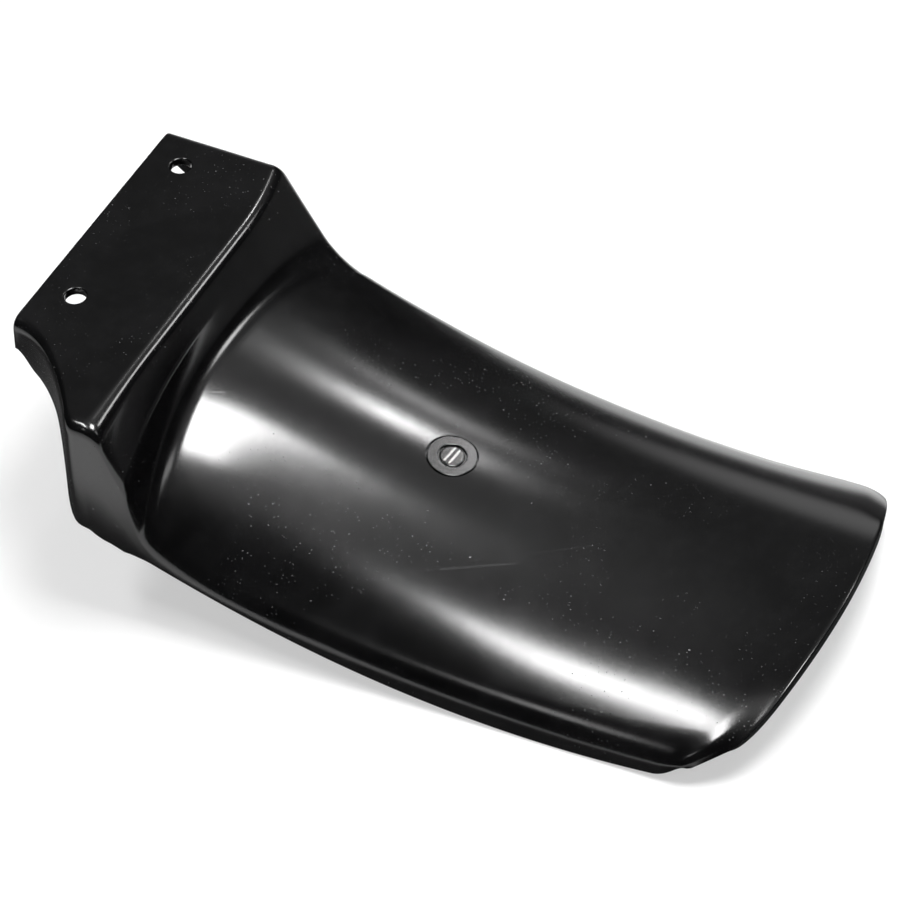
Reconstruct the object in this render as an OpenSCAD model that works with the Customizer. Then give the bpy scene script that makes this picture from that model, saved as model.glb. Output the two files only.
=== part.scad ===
// Mud flap that screws in front of a rear shock: one thin moulded piece.
// Frame: X to the wide side, Y from the screws to the free tip, Z up out of the plate.
// The origin is midway between the two screw holes, on top of the plate.

/* [Mounting plate] */
// Distance between the two screw holes
hole_gap = 66.7; // [50:0.1:80]
// Diameter of each screw hole
hole_d = 7; // [4:0.1:9]
// From the line of the screws back to the straight rear edge
plate_back = 12.4; // [9:0.1:20]
// From the line of the screws forward to the crease over the step
plate_front = 34; // [28:0.5:44]
// From the origin to the plate's narrow side
plate_far = 48; // [43:0.5:54]
// From the origin to the plate's wide side, at the rear edge
plate_near = 51.2; // [44:0.5:60]
// How sharply the wide side sweeps out: 1 is straight, more is later
flare_power = 1.7; // [1.2:0.1:3]
// From the line of the screws to where that sweep ends
flare_end = 25.5; // [20:0.5:27]
// Length over which the sweep turns into the straight side
flare_blend = 4; // [2:0.5:8]

/* [Flap] */
// From the line of the screws to the tip
reach = 255.5; // [180:0.5:320]
// How far the middle of the tip stands out past its corners
tip_bow = 12.5; // [5:0.5:25]
// Length over which the wide side rounds into the tip's corner
tip_corner = 22.5; // [10:0.5:40]
// Length over which the narrow side rounds into the tip's corner
tip_corner_far = 4.5; // [3:0.5:40]
// Squareness of those corners: 2 is an ellipse
tip_square = 10; // [4:0.5:14]
// How far the tip leans forward at its wide corner
tip_skew = 0.5; // [0:0.1:3]
// How far the tip droops at its wide corner
tip_droop = 3; // [0:0.1:6]
// How far the tip droops at its narrow corner
tip_droop_far = 2; // [0:0.1:6]
// From the origin out to the wide side
flap_near = 83; // [75:0.5:100]
// From the origin out to the narrow side
flap_far = 49.5; // [47:0.5:70]
// Where the crown of the arch lies, towards the wide side
crown_x = 15.5; // [5:0.5:25]
// How much flatter than a parabola the arch is at its crown
shoulder_part = 0.15; // [0:0.05:0.5]

/* [Side view] */
// Heights that steer the crown, from the foot of the step to the tip
crown_z = [-18.4, -40.1, -48.9, -38.4]; // [-120:0.1:-10]
// Heights that steer the shoulder line on the wide side
near_z = [-51.1, -66.1, -72.3, -51.5]; // [-120:0.1:-20]
// Heights that steer the shoulder line on the narrow side
far_z = [-30.5, -68, -66.5, -62.2]; // [-120:0.1:-20]
// Heights that steer the bottom edge of both side skirts
hem_z = [-49.4, -76.4, -79.4, -58.6]; // [-140:0.1:-30]
// Rise of the wide shoulder where it meets the step
near_rise = 16; // [0:0.5:24]
// Rise of the narrow shoulder where it meets the step
far_rise = 0; // [0:0.5:20]
// Length over which both rises fade out
rise_fade = 14; // [6:0.5:30]
// Least height of a side skirt
skirt_least = 2; // [1.5:0.1:8]
// How far the skirt's end runs back at the tip, as a share of the corner's length
tip_run_back = 0.13; // [0:0.01:0.2]
// How far that end stands out, as a share of the corner's length
tip_run_out = 0.065; // [0:0.005:0.1]
// Share of the side skirt's height that is left at the tip
tip_skirt = 0.25; // [0.2:0.05:1]

/* [Step] */
// How far the step leans forward for each millimetre that it drops
step_lean = 0.38; // [0.2:0.02:0.6]
// Rounding of the crease at the top of the step
crease_round = 3.2; // [3:0.1:6]
// Extra rounding of the crease at the wide side
near_crease = 3; // [0:0.5:5]
// How far the crease's end on the wide side stands forward
near_corner = 2.5; // [0:0.5:4]
// How far the soft ridge across the step stands out at the wide side
ridge = 2; // [0:0.1:3]
// Rounding of the hollow at the foot of the step
foot_round = 4; // [2:0.1:8]
// Extra rounding of that hollow at the narrow side
far_foot_round = 7; // [0:0.5:10]
// How far the crease's end on the narrow side rounds back
far_corner = 5; // [0:0.5:8]

/* [Skirt] */
// Height of the skirt at the rear corners, below the plate's top
skirt_rear = 12; // [8:0.5:15]
// Height of the skirt along the plate
skirt_plate = 17; // [12:0.5:22]
// Length over which the skirt grows from its rear corners
skirt_grow = 9; // [8:0.5:24]
// From the line of the screws to where the skirt starts to deepen
flank_start = 11; // [6:0.5:16]
// Length over which it deepens into the flank
flank_grow = 17; // [10:0.5:20]
// Rounding of the fold between plate or arch and skirt
fold_round = 4.5; // [4.3:0.1:7]
// Extra rounding of that fold by the tip
tip_fold = 6; // [0:0.5:9]
// How far the skirts lean outward for each millimetre of height
skirt_lean = 0.03; // [0:0.01:0.1]
// How far the skirt under the plate leans back for each millimetre of height
skirt_back_lean = 0.05; // [0:0.01:0.1]

/* [Wall] */
// Thickness of the moulded wall
wall = 3; // [2:0.1:3.2]

/* [Moulding mark] */
// Where the mark lies, from the line of the screws
mark_y = 121.5; // [90:0.5:170]
// Diameter of its outer disc
mark_d = 16.4; // [10:0.1:20]
// Diameter of its inner disc
mark_inner_d = 8; // [5:0.1:9]
// Height of the outer disc over the crown
mark_high = 0.15; // [0.05:0.05:0.4]
// Width of the groove around the inner disc
mark_groove = 0.6; // [0.3:0.1:1]
// Depth of that groove
mark_deep = 0.6; // [0.3:0.1:1]
// Turn of the two bars on the inner disc
mark_turn = 20; // [0:5:90]
// Width of each bar, and of the gap between the two
mark_bar = 1; // [0.6:0.1:1.4]

/* [Hidden] */
// Rows along the plate, over the crease, down the step, round its foot and along the arch
plate_rows = 15;
crease_rows = 5;
step_rows = 5;
foot_rows = 5;
arch_rows = 29;
// Points across the top, and round each fold
top_points = 25;
fold_points = 5;
// Height of the step's foot at the crown, and where that foot lies
foot_z = crown_z[0];
foot_y = plate_front + 1 - step_lean * foot_z;
// Half widths of the arch on its two sides
near_half = flap_near - crown_x;
far_half = flap_far + crown_x;
// Share of the half width at which the last row ends
corner = 0.955;
// Where the ridge lies down the step, and where it starts across the width
ridge_place = 0.5;
ridge_start = 0.35;
// Where the droop of the tip's corners starts, across the tip and along the arch
droop_start = 0.5;
droop_row = 0.88;
// A small overlap for cuts
eps = 0.5;

// Rises smoothly from 0 to 1
function ease(t) =
    let (u = max(0, min(1, t)))
    u * u * (3 - 2 * u);
// A point at t on the straight line from a to b
function mix(a, b, t) = a + (b - a) * t;
// A point at t on the curve that leaves a and reaches b, drawn towards c
function bend(a, c, b, t) = mix(mix(a, c, t), mix(c, b, t), t);
// Height of the curve that four heights steer
function steer(h, t) = mix(bend(h[0], h[1], h[2], t), bend(h[1], h[2], h[3], t), t);
// The lower of two values, with their meeting rounded over k
function soft_min(a, b, k) =
    let (h = max(k - abs(a - b), 0) / k)
    min(a, b) - h * h * k / 4;
function unit(v) = v / norm(v);

// Position along the arch, 0 at the step's foot and 1 at the tip
function along(y) = (y - foot_y) / (reach - foot_y);
// side is 1 on the wide side and -1 on the narrow one
function corner_of(side) = side > 0 ? tip_corner : tip_corner_far;
// Where a side starts to round into the tip
function tail_y(side) = reach - tip_bow - corner_of(side);
// How far forward the tip reaches at share u of a side's half width
function tip_at(u, side) =
    reach - tip_bow * u * u - corner_of(side) * (1 - sqrt(1 - pow(min(u, 1), tip_square)));
// How far forward the end of the last row lies
function corner_y(side) = tip_at(corner, side);
// Share of a side's full half width that is left at y, found by halving
function width_left(y, side, low = 0, high = 1, steps = 24) =
    y <= tail_y(side) ? 1
    : steps == 0 ? (low + high) / 2
    : let (u = (low + high) / 2)
      tip_at(u, side) > y
          ? width_left(y, side, u, high, steps - 1)
          : width_left(y, side, low, u, steps - 1);
// Sides in plan
function near_plate_x(y) =
    let (u = max(0, (y + plate_back) / (flare_end + plate_back)))
    soft_min(mix(plate_near, flap_near, pow(u, flare_power)), flap_near, flare_blend);
function near_x(y) = y < plate_front ? near_plate_x(y) : crown_x + near_half * width_left(y, 1);
function far_reach(y) = mix(plate_far, flap_far, ease((y - flare_end) / (2 * plate_front)));
function far_x(y) = crown_x - (crown_x + far_reach(y)) * width_left(y, -1);
// Share of the half width at x, by which the tip is bowed, leans and droops: below 0 on the narrow side
function tip_share(x) = (x - crown_x) / (x > crown_x ? near_half : far_half);
// Tip in plan: how far forward the end lies at x
function tip_y(x) =
    let (u = tip_share(x))
    tip_at(abs(u), u) + tip_skew * u;

// Heights of the shoulders, the arch and the bottom edge
function fade(y) = exp(-(y - foot_y) / rise_fade);
function near_shoulder(y) = steer(near_z, along(y)) + near_rise * fade(y);
function far_shoulder(y) = steer(far_z, along(y)) + far_rise * fade(y);
function arch_z(x, y) =
    let (
        top = steer(crown_z, along(y)),
        near = x > crown_x,
        u = near ? (x - crown_x) / near_half : (crown_x - x) / (crown_x + far_reach(y)),
        side = near ? near_shoulder(y) : far_shoulder(y)
    )
    top - (top - side) * mix(pow(u, 2), pow(u, 4), shoulder_part);
function hem(y) = steer(hem_z, along(y));
function plate_hem(y) =
    let (
        rear = mix(-skirt_rear, -skirt_plate, ease((y + plate_back) / skirt_grow))
    )
    mix(rear, hem(y), ease((y - flank_start) / flank_grow));

// A rounded fold between a point on the wall and a point on the top
function fold(wall_point, corner_point, top_point) =
    [for (i = [0:fold_points - 1]) bend(wall_point, corner_point, top_point, i / (fold_points - 1))];
function wall_leg(fold_point, bottom, leg) =
    fold_point + unit(bottom - fold_point) * min(leg, 0.8 * norm(bottom - fold_point));

// Rounding at the narrow side: 1 at its edge, fading out towards the middle
function far_share(q) = pow(max(0, 1 - q / 0.25), 2);
// The same at the wide side
function near_share(q) = pow(max(0, 1 - (1 - q) / 0.3), 2);
// Rounding of the crease, and where it lies
function crease_leg(q) = crease_round + near_crease * near_share(q);
function crease_y(q) = plate_front + near_corner * near_share(q) - far_corner * far_share(q);
// The top surface at share q of the width: plate, step and arch
function plate_point(q, t) =
    let (y = mix(-plate_back, plate_front - crease_round, t))
    [mix(far_x(y), near_x(y), q), mix(-plate_back, crease_y(q) - crease_leg(q), t), 0];
function crease_point(q) = [mix(far_x(plate_front), near_x(plate_front), q), crease_y(q), 0];
function foot_leg(q) = foot_round + far_foot_round * far_share(q / 2);
function foot_point(q) =
    let (
        x = mix(far_x(foot_y), near_x(foot_y), q),
        drop = -arch_z(x, foot_y),
        y = plate_front + 1 + step_lean * drop
    )
    [x, y, arch_z(x, y)];
function after_foot(q) =
    let (p = foot_point(q), y = p[1] + foot_leg(q))
    [p[0], y, arch_z(p[0], y)];
// The ridge's shape down the step, and how far it stands out at share q of the width
function ridge_shape(t) =
    t < ridge_place ? pow(t / ridge_place, 1.5) : pow((1 - t) / (1 - ridge_place), 2);
function ridge_out(q, t) = [0, ridge * ridge_shape(t) * ease((q - ridge_start) / (1 - ridge_start)), 0];
function step_point(q, k) =
    let (
        top = crease_point(q),
        foot = foot_point(q),
        way = unit(foot - top),
        room = 0.45 * norm(foot - top),
        below = top + way * min(crease_leg(q), room),
        above = foot - way * min(foot_leg(q), room),
        k2 = k - crease_rows,
        k3 = k2 - step_rows,
        t = (k2 + 1) / (step_rows + 1)
    )
    k < crease_rows
        ? bend(top - [0, crease_leg(q), 0], top, below, k / (crease_rows - 1))
        : k2 < step_rows
            ? mix(below, above, t) + ridge_out(q, t)
            : bend(above, foot, after_foot(q), k3 / (foot_rows - 1));
function tip_point(q) =
    let (
        x = mix(crown_x - far_half * corner, crown_x + near_half * corner, q),
        y = tip_y(x)
    )
    [x, y];
function arch_point(q, t) =
    let (
        start = after_foot(q),
        end = tip_point(q),
        y = mix(start[1], end[1], t),
        row_near = mix(after_foot(1)[1], corner_y(1), t),
        row_far = mix(after_foot(0)[1], corner_y(-1), t),
        x = mix(far_x(row_far), near_x(row_near), q)
    )
    [x, y, arch_z(x, y) - droop(tip_share(end[0]), t)];
// How far the tip has drooped at share u of the half width
function droop(u, t) =
    (u > 0 ? tip_droop : tip_droop_far)
    * ease((abs(u) - droop_start) / (1 - droop_start))
    * pow(ease((t - droop_row) / (1 - droop_row)), 2);

// kind 0 is a row of the plate, 1 of the step and 2 of the arch
function top_point(kind, q, s) =
    kind == 0 ? plate_point(q, s) : kind == 1 ? step_point(q, s) : arch_point(q, s);
function bottom_point(kind, side, s, edge) =
    kind == 0
        ? let (z = plate_hem(edge[1]))
          [edge[0] - side * skirt_lean * z, edge[1] + skirt_back_lean * z, z]
        : kind == 1
            ? let (
                  end = side > 0 ? 1 : 0,
                  start = plate_point(end, 1)[1],
                  first = start + skirt_back_lean * plate_hem(start),
                  last = after_foot(end)[1],
                  y = mix(first, last, (s + 1) / (crease_rows + step_rows + foot_rows))
              )
              [edge[0] + side * skirt_lean * (edge[2] - hem(y)), y, hem(y)]
            : let (
                  y = edge[1],
                  left = 1 - (1 - tip_skirt) * tail_share(y, side),
                  fall = max(skirt_least, (edge[2] - hem(y)) * left),
                  turn = corner_of(side) * pow(tail_share(y, side), 2),
                  x = edge[0] + side * (skirt_lean * fall + tip_run_out * turn)
              )
              [x, y - tip_run_back * turn, edge[2] - fall];
// Rises from 0 to 1 along a side where it rounds into the tip
function tail_share(y, side) = ease((y - tail_y(side)) / (corner_y(side) - tail_y(side)));

function row(kind, s, soften) =
    let (
        far = top_point(kind, 0, s),
        near = top_point(kind, 1, s),
        width = norm(near - far),
        leg = fold_round + tip_fold * soften,
        far_low = bottom_point(kind, -1, s, far),
        near_low = bottom_point(kind, 1, s, near),
        far_leg = min(leg, 1.4 * norm(far_low - far)),
        near_leg = min(leg, 1.4 * norm(near_low - near)),
        q0 = far_leg / width,
        q1 = 1 - near_leg / width,
        far_wall = wall_leg(far, far_low, far_leg),
        near_wall = wall_leg(near, near_low, near_leg)
    )
    concat(
        [far_low, mix(far_low, far_wall, 0.5)],
        fold(far_wall, far, top_point(kind, q0, s)),
        [for (i = [1:top_points]) top_point(kind, mix(q0, q1, i / (top_points + 1)), s)],
        fold(top_point(kind, q1, s), near, near_wall),
        [mix(near_low, near_wall, 0.5), near_low]
    );

face = concat(
    [for (i = [0:plate_rows - 1]) row(0, i / plate_rows, 0)],
    [for (i = [0:crease_rows + step_rows + foot_rows - 1]) row(1, i, 0)],
    [for (i = [1:arch_rows]) row(2, i / arch_rows, pow(i / arch_rows, 3))]
);
rows = len(face);
cols = len(face[0]);

// The inner face lies one wall below the outer one, square to it
function normal_at(r, c) =
    let (
        over = face[r][min(c + 1, cols - 1)] - face[r][max(c - 1, 0)],
        down = face[min(r + 1, rows - 1)][c] - face[max(r - 1, 0)][c]
    )
    unit(cross(over, down));
inner = [for (r = [0:rows - 1]) [for (c = [0:cols - 1]) face[r][c] - wall * normal_at(r, c)]];

// The shell as one closed skin: both faces and the rim that joins them
module shell() {
    count = rows * cols;
    points = concat([for (line = face) each line], [for (line = inner) each line]);
    outer_faces = [
        for (r = [0:rows - 2], c = [0:cols - 2])
            let (a = r * cols + c, b = a + 1, d = a + cols, e = d + 1)
            each [[a, d, b], [b, d, e]]
    ];
    inner_faces = [for (f = outer_faces) [f[0] + count, f[2] + count, f[1] + count]];
    rim = concat(
        [for (c = [0:cols - 1]) c],
        [for (r = [1:rows - 1]) r * cols + cols - 1],
        [for (c = [1:cols - 1]) rows * cols - 1 - c],
        [for (r = [1:rows - 2]) (rows - 1 - r) * cols]
    );
    rim_faces = [
        for (i = [0:len(rim) - 1])
            let (a = rim[i], b = rim[(i + 1) % len(rim)])
            each [[a, b, a + count], [b, b + count, a + count]]
    ];
    polyhedron(points = points, faces = concat(outer_faces, inner_faces, rim_faces), convexity = 10);
}

// Where the mark sits: on the crown, square to it
mark_z = arch_z(crown_x, mark_y);
mark_slope = atan((arch_z(crown_x, mark_y + 1) - arch_z(crown_x, mark_y - 1)) / 2);
module at_mark() {
    translate([crown_x, mark_y, mark_z])
        rotate([mark_slope, 0, 0])
            children();
}

// A flat disc let into the crown, as a mould insert leaves it
module mark_disc() {
    at_mark()
        translate([0, 0, -wall / 2])
            cylinder(h = wall / 2 + mark_high, d = mark_d, $fn = 96);
}

// The groove round the inner disc, and what is sunk between its bars
module mark_cuts() {
    at_mark()
        translate([0, 0, mark_high - mark_deep])
            difference() {
                cylinder(h = mark_deep + eps, d = mark_inner_d + 2 * mark_groove, $fn = 96);
                translate([0, 0, -eps])
                    cylinder(h = mark_deep / 2 + eps, d = mark_inner_d, $fn = 96);
                mark_bars();
            }
}

module mark_bars() {
    intersection() {
        cylinder(h = mark_deep, d = mark_inner_d, $fn = 96);
        rotate([0, 0, mark_turn])
            for (side = [-1, 1])
                translate([side * mark_bar, 0, mark_deep / 2])
                    cube([mark_bar, mark_inner_d, mark_deep], center = true);
    }
}

module screw_holes() {
    for (side = [-1, 1])
        translate([side * hole_gap / 2, 0, -wall - eps])
            cylinder(h = wall + 2 * eps, d = hole_d, $fn = 96);
}

// The one moulded piece
module mud_flap() {
    color([0.03, 0.03, 0.035])
        difference() {
            union() {
                shell();
                mark_disc();
            }
            screw_holes();
            mark_cuts();
        }
}

mud_flap();
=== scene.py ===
"""Studio scene of a shock mud flap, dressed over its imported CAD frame.

The flap is one moulded wall of black plastic: a plate with two screw holes,
a step, and a long arch with side skirts. Sizes are in millimetres in the
part's own frame, and become metres when a mesh is made.
"""
import logging
import math
from dataclasses import asdict, dataclass, field
from enum import Enum
from functools import reduce
from typing import Any, Optional, Sequence, Union

import bmesh
import bpy
import numpy as np
from mathutils import Euler, Matrix, Vector


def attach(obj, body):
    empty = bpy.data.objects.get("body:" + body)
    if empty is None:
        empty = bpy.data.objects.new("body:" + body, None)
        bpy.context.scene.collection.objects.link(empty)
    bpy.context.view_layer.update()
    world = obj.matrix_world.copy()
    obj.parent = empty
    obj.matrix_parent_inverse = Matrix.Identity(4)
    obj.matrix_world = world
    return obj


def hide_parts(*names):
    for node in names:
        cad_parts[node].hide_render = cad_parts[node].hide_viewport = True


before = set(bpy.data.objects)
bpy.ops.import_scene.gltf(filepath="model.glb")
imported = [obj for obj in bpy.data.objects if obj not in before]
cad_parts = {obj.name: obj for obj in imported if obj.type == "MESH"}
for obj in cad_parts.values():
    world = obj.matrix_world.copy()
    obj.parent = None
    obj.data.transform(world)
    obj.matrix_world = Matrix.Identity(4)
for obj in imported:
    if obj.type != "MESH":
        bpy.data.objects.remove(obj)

LOG = logging.getLogger("mud_flap_scene")
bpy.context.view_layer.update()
MM = 0.001

Number = Union[int, float]
Points = np.ndarray
Pair = tuple[float, float]
Triple = tuple[float, float, float]
Mesh = bpy.types.Mesh
Socket = bpy.types.NodeSocket


# ---------------------------------------------------------------- shader kit
class Wire:
    """An output socket in a node sheet."""

    def __init__(self, sheet: "NodeSheet", socket: Socket) -> None:
        """Wraps a socket."""
        self.sheet = sheet
        self.socket = socket


class Signal(Wire):
    """A value socket on which Python operators add Math nodes."""

    def _math(self, operation: str, *values: Any, clamp: bool = False) -> "Signal":
        """Adds one Math node with its inputs in order."""
        settings = {"operation": operation, "use_clamp": clamp}
        return self.sheet.signal("ShaderNodeMath", settings, dict(enumerate(values)))

    def __add__(self, other: Any) -> "Signal":
        """Adds a value."""
        return self._math("ADD", self, other)

    __radd__ = __add__

    def __sub__(self, other: Any) -> "Signal":
        """Takes a value away."""
        return self._math("SUBTRACT", self, other)

    def __rsub__(self, other: Any) -> "Signal":
        """Takes this signal away from a value."""
        return self._math("SUBTRACT", other, self)

    def __mul__(self, other: Any) -> "Signal":
        """Multiplies by a value."""
        return self._math("MULTIPLY", self, other)

    __rmul__ = __mul__

    def __truediv__(self, other: Any) -> "Signal":
        """Divides by a value."""
        return self._math("DIVIDE", self, other)

    def larger(self, other: Any) -> "Signal":
        """Gives the larger of two values."""
        return self._math("MAXIMUM", self, other)

    def clamped(self) -> "Signal":
        """Holds the value between 0 and 1."""
        return self._math("ADD", self, 0.0, clamp=True)

    def over(self, low: Number, high: Number) -> "Signal":
        """Rises smoothly from 0 to 1 between two values.

        Args:
            low: Where it is 0.
            high: Where it is 1. It may be the lower of the two.

        Returns:
            The smooth step.
        """
        settings = {"interpolation_type": "SMOOTHSTEP", "clamp": True}
        inputs = {"Value": self, "From Min": min(low, high), "From Max": max(low, high)}
        rise = self.sheet.signal("ShaderNodeMapRange", settings, inputs)
        return rise if low < high else 1.0 - rise


class Direction(Wire):
    """A vector socket on which Python operators add Vector Math nodes."""

    def _vector_math(self, operation: str, *values: Any, output: str = "Vector") -> Socket:
        """Adds one Vector Math node with its inputs in order, and gives the named output."""
        settings, inputs = {"operation": operation}, dict(enumerate(values))
        return self.sheet.add("ShaderNodeVectorMath", settings, inputs).outputs[output]

    def __sub__(self, other: Any) -> "Direction":
        """Takes a vector away."""
        return Direction(self.sheet, self._vector_math("SUBTRACT", self, other))

    def __mul__(self, other: Any) -> "Direction":
        """Multiplies by a vector, part by part."""
        return Direction(self.sheet, self._vector_math("MULTIPLY", self, other))

    def dot(self, other: Any) -> Signal:
        """Gives the dot product with a vector."""
        return Signal(self.sheet, self._vector_math("DOT_PRODUCT", self, other, output="Value"))

    def length(self) -> Signal:
        """Gives the vector's length."""
        return Signal(self.sheet, self._vector_math("LENGTH", self, output="Value"))


class NodeSheet:
    """The node tree of one material or of the world."""

    def __init__(self, owner: Union[bpy.types.Material, bpy.types.World]) -> None:
        """Empties the owner's node tree and keeps it.

        Args:
            owner: The material or world.
        """
        owner.use_nodes = True
        self.tree = owner.node_tree
        self.tree.nodes.clear()

    def add(
        self, kind: str, settings: Optional[dict] = None, inputs: Optional[dict] = None
    ) -> bpy.types.Node:
        """Adds one node.

        Args:
            kind: The node's type.
            settings: Its settings, set first.
            inputs: Values or links by socket name or number.

        Returns:
            The node.
        """
        node = self.tree.nodes.new(kind)
        for name, value in (settings or {}).items():
            setattr(node, name, value)
        for name, value in (inputs or {}).items():
            self.feed(node.inputs[name], value)
        return node

    def feed(self, socket: Socket, value: Any) -> None:
        """Links or sets one input socket.

        Args:
            socket: The input socket.
            value: A wire, a socket, a number, or a tuple of numbers.
        """
        if isinstance(value, Wire):
            value = value.socket
        if isinstance(value, Socket):
            self.tree.links.new(value, socket)
        else:
            socket.default_value = value

    def signal(
        self,
        kind: str,
        settings: Optional[dict] = None,
        inputs: Optional[dict] = None,
        output: Any = 0,
    ) -> Signal:
        """Adds a node and wraps its value output of the given name or number."""
        return Signal(self, self.add(kind, settings, inputs).outputs[output])

    def place(self) -> Direction:
        """Gives the point on the surface in the part's frame, in millimetres."""
        return self.scaled(self.add("ShaderNodeTexCoord").outputs["Object"], 1.0 / MM)

    def scaled(self, vector: Any, factor: Any) -> Direction:
        """Multiplies a vector by one number or signal."""
        settings, inputs = {"operation": "SCALE"}, {0: vector, "Scale": factor}
        return Direction(self, self.add("ShaderNodeVectorMath", settings, inputs).outputs[0])

    def rays(self) -> tuple[Signal, Signal]:
        """Gives which rays come from the camera, and which from gloss or glass.

        Returns:
            Both, each 1 for such rays and 0 for the others.
        """
        path = self.add("ShaderNodeLightPath").outputs
        gloss = Signal(self, path["Is Glossy Ray"]).larger(path["Is Transmission Ray"])
        return Signal(self, path["Is Camera Ray"]), gloss

    def noise(
        self, where: Direction, size: float, layers: float = 2.0, rough: float = 0.5
    ) -> Signal:
        """Gives noise from 0 to 1 in patches of a size in millimetres."""
        inputs = {"Vector": where, "Scale": 1.0 / size, "Detail": layers, "Roughness": rough}
        return self.signal("ShaderNodeTexNoise", {"noise_dimensions": "3D"}, inputs, "Fac")

    def tint(self, factor: Any, low: Any, high: Any) -> Socket:
        """Mixes two colours by the share of the second."""
        node = self.add("ShaderNodeMix", {"data_type": "RGBA"}, {0: factor, 6: low, 7: high})
        return node.outputs[2]


# ------------------------------------------------------------------ finishes
class Wear:
    """One kind of mark on the plastic."""

    def signal(self, sheet: NodeSheet, where: Direction) -> Signal:
        """Draws the marks.

        Args:
            sheet: The material's nodes.
            where: The place on the surface.

        Returns:
            Their strength, from 0 to 1.
        """
        raise NotImplementedError


@dataclass(frozen=True)
class Patches(Wear):
    """Noise that fades in between two of its levels."""

    size: float
    layers: float
    rough: float
    low: float
    high: float

    def signal(self, sheet: NodeSheet, where: Direction) -> Signal:
        """Draws the patches, as Wear.signal describes."""
        noise = sheet.noise(where, self.size, self.layers, self.rough)
        return noise.over(self.low, self.high)


@dataclass(frozen=True)
class Hairlines(Wear):
    """Many faint parallel hairlines, turned in plan by some degrees."""

    turn: float
    length: float
    gate: float
    strength: float = 1.0
    width: float = 0.22
    rise: float = 0.3
    soft: float = 0.07
    areas: Patches = Patches(26.0, 1.0, 0.5, 0.46, 0.68)

    def signal(self, sheet: NodeSheet, where: Direction) -> Signal:
        """Draws the hairlines, as Wear.signal describes."""
        angle = math.radians(self.turn)
        along = where.dot((math.cos(angle), math.sin(angle), 0.0))
        across = where.dot((-math.sin(angle), math.cos(angle), self.rise))
        inputs = {"X": along / self.length, "Y": across / self.width, "Z": self.turn}
        pulled = Direction(sheet, sheet.add("ShaderNodeCombineXYZ", None, inputs).outputs[0])
        lines = sheet.noise(pulled, 1.0, 1.0).over(self.gate, self.gate + self.soft)
        return lines * self.areas.signal(sheet, where) * self.strength


@dataclass(frozen=True)
class Scratch(Wear):
    """One scratch on the flap, as a line in plan."""

    start: Pair
    end: Pair
    width: float
    depth: float
    core: float = 0.25
    breaks: Patches = Patches(1.6, 2.0, 0.5, 0.3, 0.55)

    def signal(self, sheet: NodeSheet, where: Direction) -> Signal:
        """Draws the scratch, as Wear.signal describes."""
        start = Vector((*self.start, 0.0))
        run = Vector((*self.end, 0.0)) - start
        flat = where * (1.0, 1.0, 0.0) - tuple(start)
        share = (flat.dot(tuple(run)) / run.length_squared).clamped()
        line = (flat - sheet.scaled(tuple(run), share)).length()
        line = line.over(self.width, self.width * self.core)
        return line * self.breaks.signal(sheet, where) * self.depth


@dataclass(frozen=True)
class Specks(Wear):
    """Dust specks of one size. A share of the cells stays bare."""

    cell: float
    bare: float
    radius: float
    strength: float = 1.0
    edge: float = 0.03
    soft: float = 0.05

    def signal(self, sheet: NodeSheet, where: Direction) -> Signal:
        """Scatters the specks, as Wear.signal describes."""
        inputs = {"Vector": where, "Scale": 1.0 / self.cell, "Randomness": 1.0}
        node = sheet.add("ShaderNodeTexVoronoi", {"feature": "F1"}, inputs)
        draw = Direction(sheet, node.outputs["Color"])
        pick, size = draw.dot((1.0, 0.0, 0.0)), draw.dot((0.0, self.radius, 0.0))
        near = Signal(sheet, node.outputs["Distance"]) - size * pick
        picked = pick.over(self.bare, self.bare + self.soft)
        return near.over(self.edge, 0.0) * picked * self.strength


@dataclass(frozen=True)
class Shares:
    """How much of each kind of wear one channel takes."""

    smudge: float = 0.0
    haze: float = 0.0
    hair: float = 0.0
    cut: float = 0.0
    dust: float = 0.0
    grain: float = 0.0
    pebble: float = 0.0
    swell: float = 0.0

    def total(self, wear: dict[str, Signal]) -> Signal:
        """Adds up the kinds of wear, each times its share."""
        parts = [wear[name] * share for name, share in asdict(self).items() if share]
        return sum(parts[1:], parts[0])


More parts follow.
